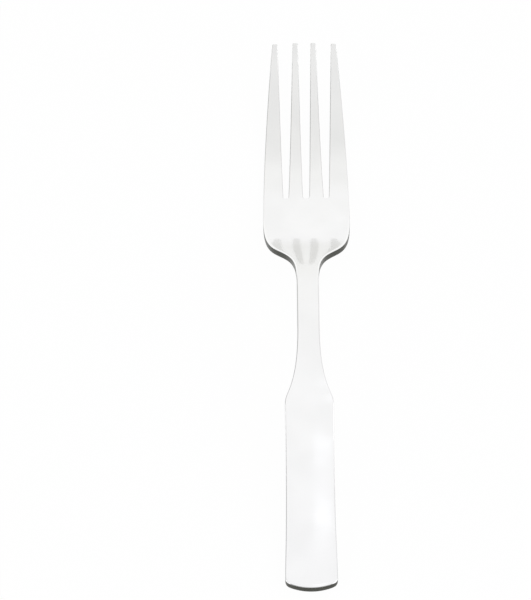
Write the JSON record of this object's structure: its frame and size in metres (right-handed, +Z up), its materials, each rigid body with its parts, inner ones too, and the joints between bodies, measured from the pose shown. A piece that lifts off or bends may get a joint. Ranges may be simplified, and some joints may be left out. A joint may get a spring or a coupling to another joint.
{
  "type": "dinner fork",
  "caption": "Plain polished steel dinner fork with a broad paddle handle, a slim arched neck, squared shoulders and long tapered tines, for lifting and spearing food at table.",
  "frame": {"origin": "on the table, under the middle of the fork's length and width", "axes": "+Y from the handle's end towards the tips, +Z up from the table with the hollow side of the head upwards, +X to the right seen from the handle"},
  "size_m": [0.0264, 0.19, 0.0204],
  "materials": {
    "steel": "polished"
  },
  "bodies": {
    "root": {"handle": "steel", "neck": "steel", "head": "steel", "tine_left_outer": "steel", "tine_left_inner": "steel", "tine_right_inner": "steel", "tine_right_outer": "steel"}
  },
  "joints": []
}
